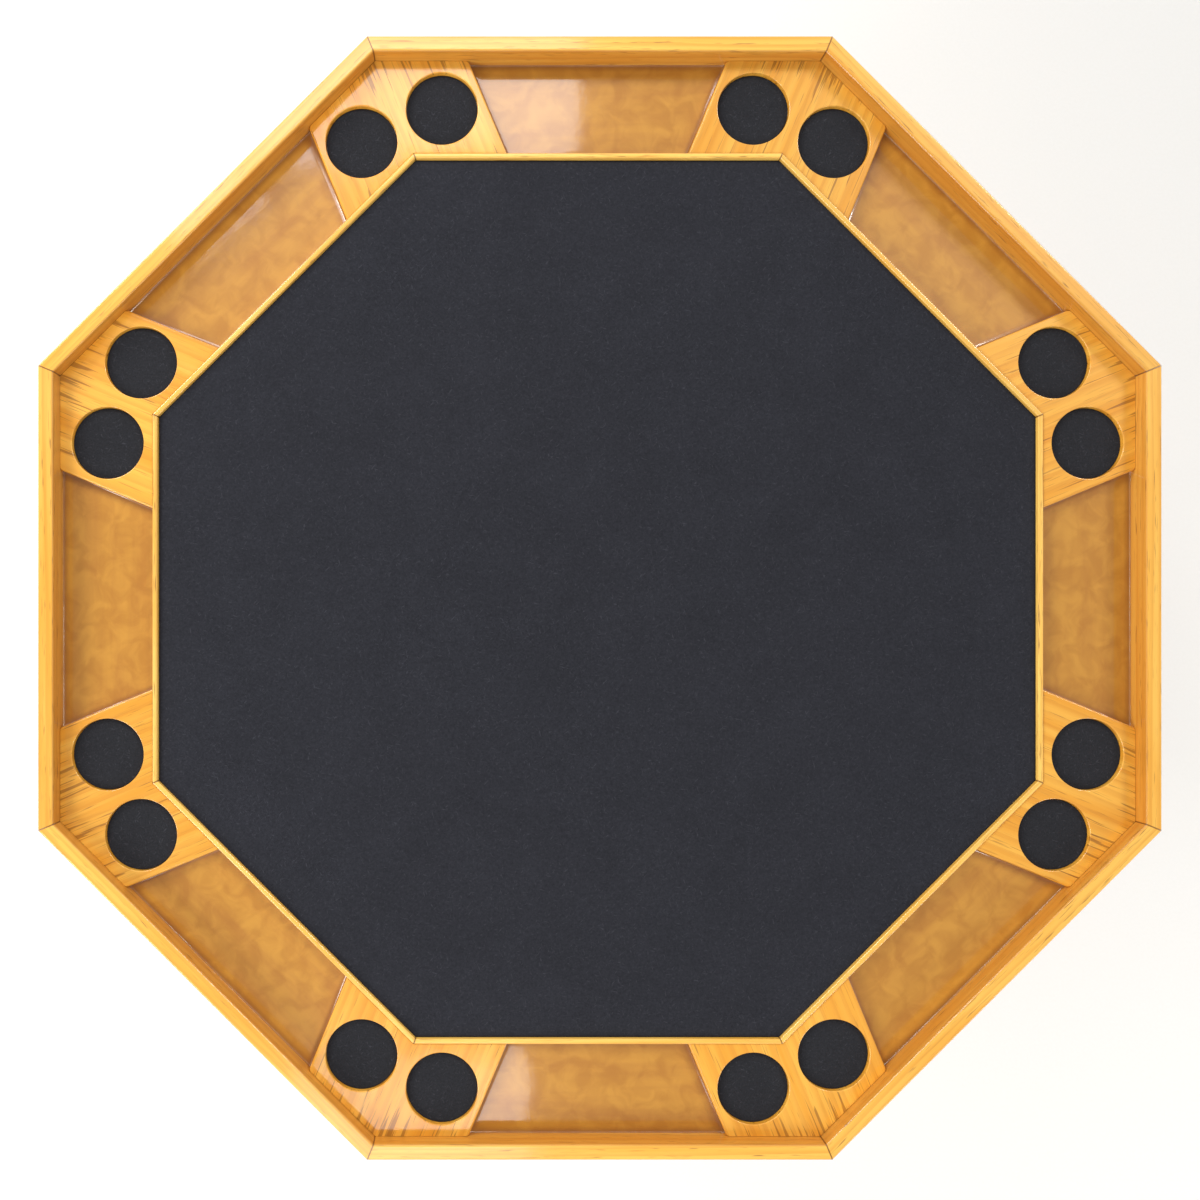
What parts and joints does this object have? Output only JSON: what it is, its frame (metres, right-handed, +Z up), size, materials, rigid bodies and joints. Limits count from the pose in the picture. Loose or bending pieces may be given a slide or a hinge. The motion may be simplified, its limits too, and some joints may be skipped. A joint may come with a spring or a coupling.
{
  "type": "bumper pool table",
  "caption": "Octagonal oak bumper pool table on a pedestal, with cushions, bumpers and pockets under a lift-off poker top with a felt field, chip trays and cup wells.",
  "frame": {"origin": "on the floor, under the centre of the octagon", "axes": "+Z up; side 0 of the octagon faces +X, and the two pockets lie on the Y axis"},
  "size_m": [1.372, 1.372, 0.762],
  "materials": {
    "oak_rim": "clear lacquer over golden oak",
    "oak_block": "clear lacquer over golden oak veneer",
    "oak_trim": "clear lacquer over golden oak",
    "tray_lacquer": "high gloss amber lacquer",
    "oak_dining": "satin lacquer over oak veneer",
    "oak_rail": "satin lacquer over oak",
    "oak_apron": "satin lacquer over oak veneer",
    "oak_pedestal": "satin lacquer over oak",
    "board": "raw particle board",
    "softwood": "raw planed softwood",
    "plywood": "raw plywood",
    "black_felt": "brushed charcoal felt",
    "green_cloth": "napped pool cloth",
    "cushion_rubber": "matt gum rubber",
    "ring_rubber": "matt cream rubber",
    "white_plastic": "moulded, gloss",
    "black_plastic": "moulded, fine texture",
    "pad_felt": "pressed felt",
    "zinc_steel": "bright zinc plate"
  },
  "bodies": {
    "cabinet": {"cushion_rails": "oak_rail", "cushion_rubbers": "cushion_rubber", "cushion_covers": "green_cloth", "bed_board": "board", "bed_cloth": "green_cloth", "apron_panels": "oak_apron", "return_panels": "oak_apron", "glue_blocks": "softwood", "rail_bolts": "zinc_steel", "rest_pads": "pad_felt", "pocket_liners": "black_plastic", "ball_trays": "plywood", "bumper_posts": "white_plastic", "bumper_rings": "ring_rubber", "bumper_bolts": "zinc_steel", "bed_bearers": "softwood", "pedestal_head": "plywood", "pedestal_panels": "oak_pedestal", "pedestal_feet": "oak_pedestal", "frame_bolts": "zinc_steel", "leveller_nuts": "zinc_steel"},
    "loose_top": {"rim_rail_1": "oak_rim", "rim_rail_2": "oak_rim", "rim_rail_3": "oak_rim", "rim_rail_4": "oak_rim", "rim_rail_5": "oak_rim", "rim_rail_6": "oak_rim", "rim_rail_7": "oak_rim", "rim_rail_8": "oak_rim", "corner_block_1": "oak_block", "corner_block_2": "oak_block", "corner_block_3": "oak_block", "corner_block_4": "oak_block", "corner_block_5": "oak_block", "corner_block_6": "oak_block", "corner_block_7": "oak_block", "corner_block_8": "oak_block", "chip_tray_1": "tray_lacquer", "chip_tray_2": "tray_lacquer", "chip_tray_3": "tray_lacquer", "chip_tray_4": "tray_lacquer", "chip_tray_5": "tray_lacquer", "chip_tray_6": "tray_lacquer", "chip_tray_7": "tray_lacquer", "chip_tray_8": "tray_lacquer", "felt_trim": "oak_trim", "core_panel": "board", "dining_panel": "oak_dining", "felt_board": "plywood", "poker_felt": "black_felt", "cup_felts": "black_felt", "panel_screws": "zinc_steel"},
    "leveller_1": {"leveller_pad_1": "black_plastic", "leveller_stem_1": "zinc_steel"},
    "leveller_2": {"leveller_pad_2": "black_plastic", "leveller_stem_2": "zinc_steel"},
    "leveller_3": {"leveller_pad_3": "black_plastic", "leveller_stem_3": "zinc_steel"},
    "leveller_4": {"leveller_pad_4": "black_plastic", "leveller_stem_4": "zinc_steel"}
  },
  "joints": [
    {"name": "top_lift", "type": "slide", "parent": "cabinet", "child": "loose_top", "axis": [0, 0, 1], "range_m": [0, 0.5]},
    {"name": "leveller_height_1", "type": "slide", "parent": "cabinet", "child": "leveller_1", "axis": [0, 0, 1], "range_m": [-0.008, 0.005]},
    {"name": "leveller_height_2", "type": "slide", "parent": "cabinet", "child": "leveller_2", "axis": [0, 0, 1], "range_m": [-0.008, 0.005]},
    {"name": "leveller_height_3", "type": "slide", "parent": "cabinet", "child": "leveller_3", "axis": [0, 0, 1], "range_m": [-0.008, 0.005]},
    {"name": "leveller_height_4", "type": "slide", "parent": "cabinet", "child": "leveller_4", "axis": [0, 0, 1], "range_m": [-0.008, 0.005]}
  ]
}
